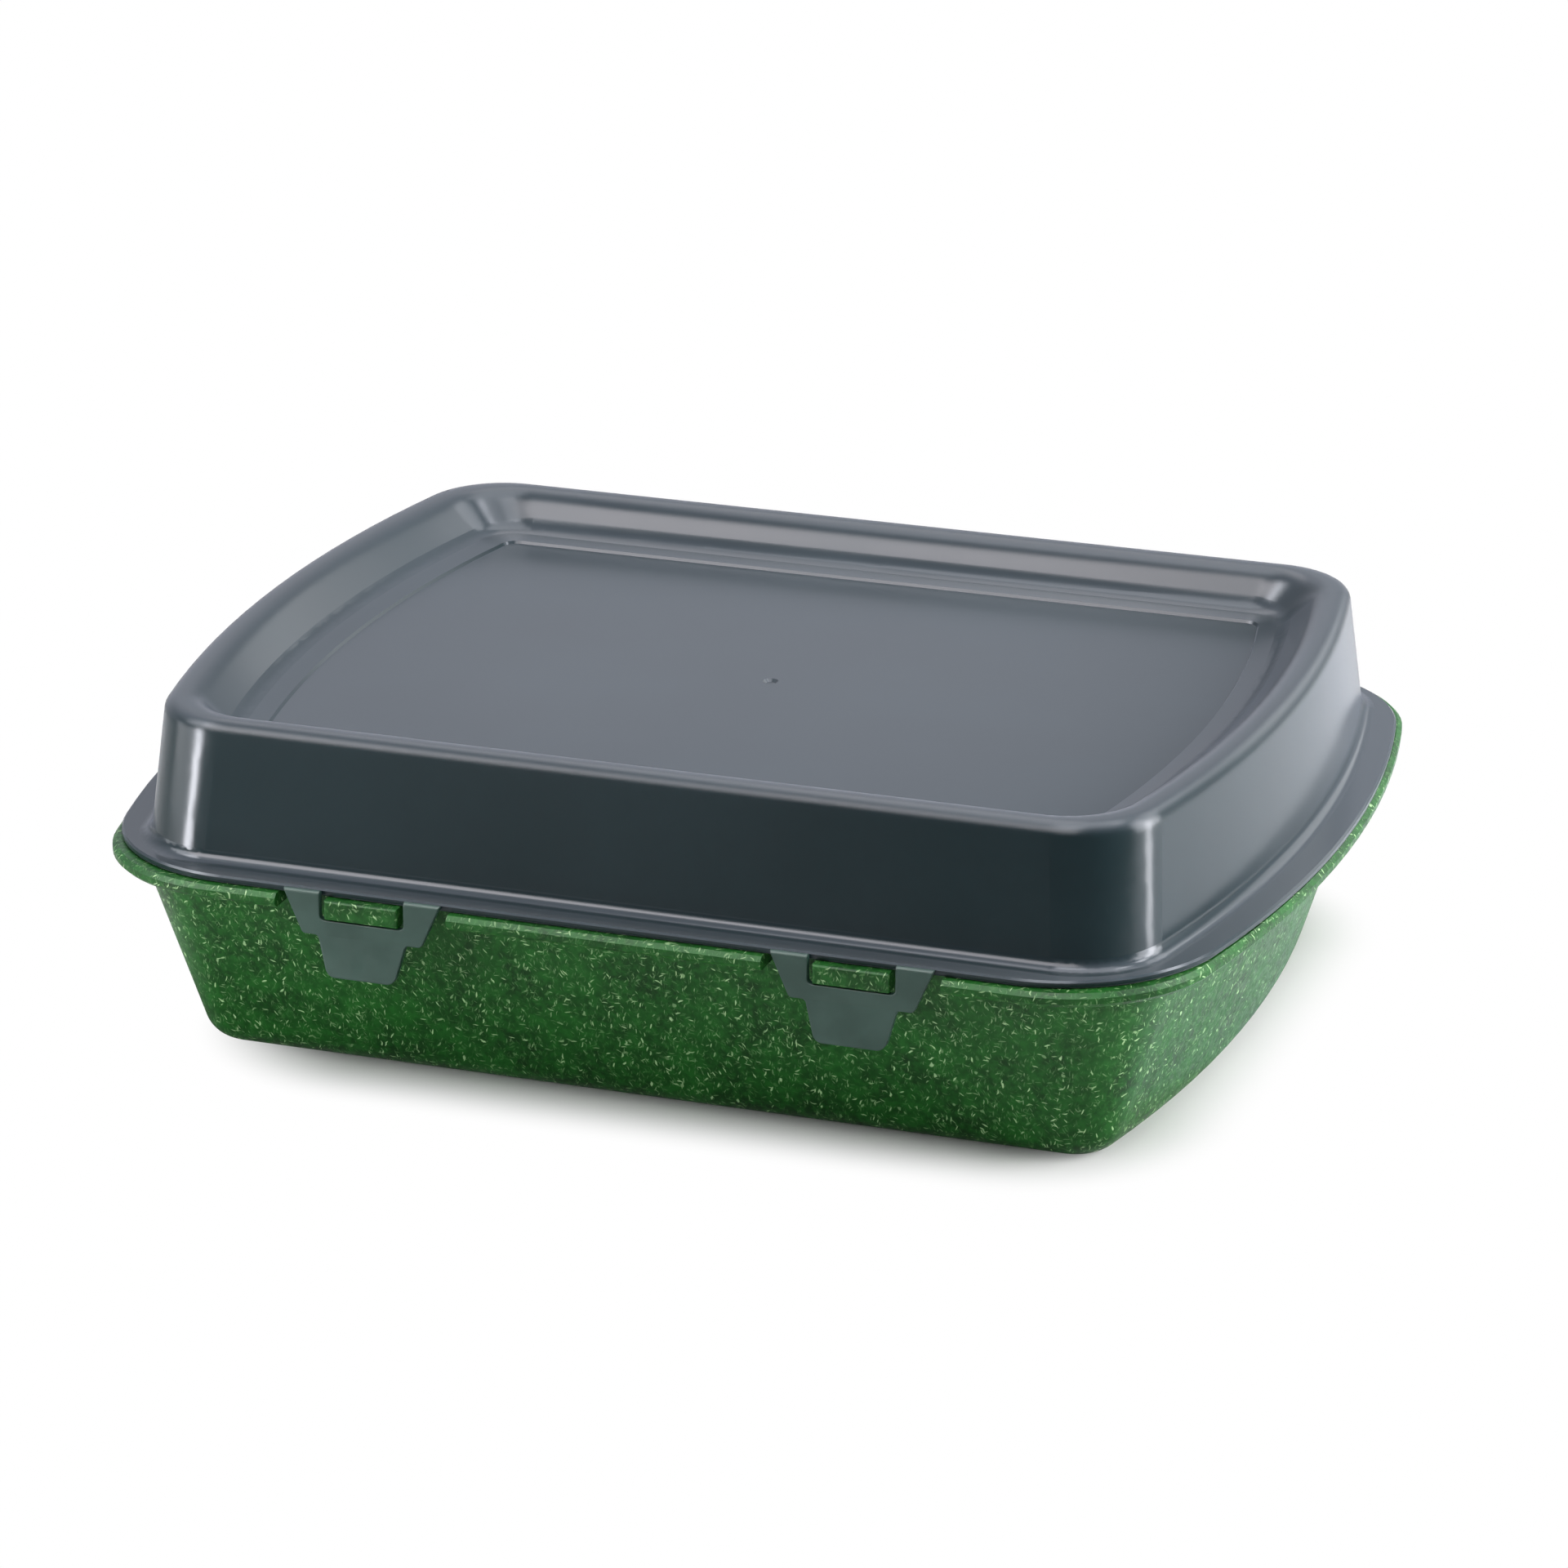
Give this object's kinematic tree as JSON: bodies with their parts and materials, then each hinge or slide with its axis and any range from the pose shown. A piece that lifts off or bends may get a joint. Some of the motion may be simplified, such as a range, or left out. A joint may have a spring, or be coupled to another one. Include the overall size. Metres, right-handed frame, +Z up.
{
  "type": "reusable food container",
  "caption": "Reusable take-away food container: a tapered, flecked tray with a flared rim, and a domed grey lid with a sunken top that hinges at the back and clips down at the front.",
  "frame": {"origin": "under the tray's centre, on the plane that it stands on", "axes": "+X along the long side, -Y the front with the clips that open, +Z up"},
  "size_m": [0.2534, 0.1982, 0.0742],
  "materials": {
    "tray_composite": "fibre-flecked satin",
    "lid_plastic": "smoky satin gloss",
    "clip_plastic": "satin"
  },
  "bodies": {
    "tray": {"tray": "tray_composite", "rear_clip_left": "clip_plastic", "rear_clip_right": "clip_plastic"},
    "lid": {"lid": "lid_plastic"},
    "clip_left": {"front_clip_left": "clip_plastic"},
    "clip_right": {"front_clip_right": "clip_plastic"}
  },
  "joints": [
    {"name": "lid_hinge", "type": "hinge", "parent": "tray", "child": "lid", "pos_m": [0, 0.0969, 0.0448], "axis": [-1, 0, 0], "range_deg": [0, 175]},
    {"name": "front_clip_left_hinge", "type": "hinge", "parent": "lid", "child": "clip_left", "pos_m": [-0.0525, -0.0969, 0.0448], "axis": [-1, 0, 0], "range_deg": [0, 120]},
    {"name": "front_clip_right_hinge", "type": "hinge", "parent": "lid", "child": "clip_right", "pos_m": [0.0525, -0.0969, 0.0448], "axis": [-1, 0, 0], "range_deg": [0, 120]}
  ]
}
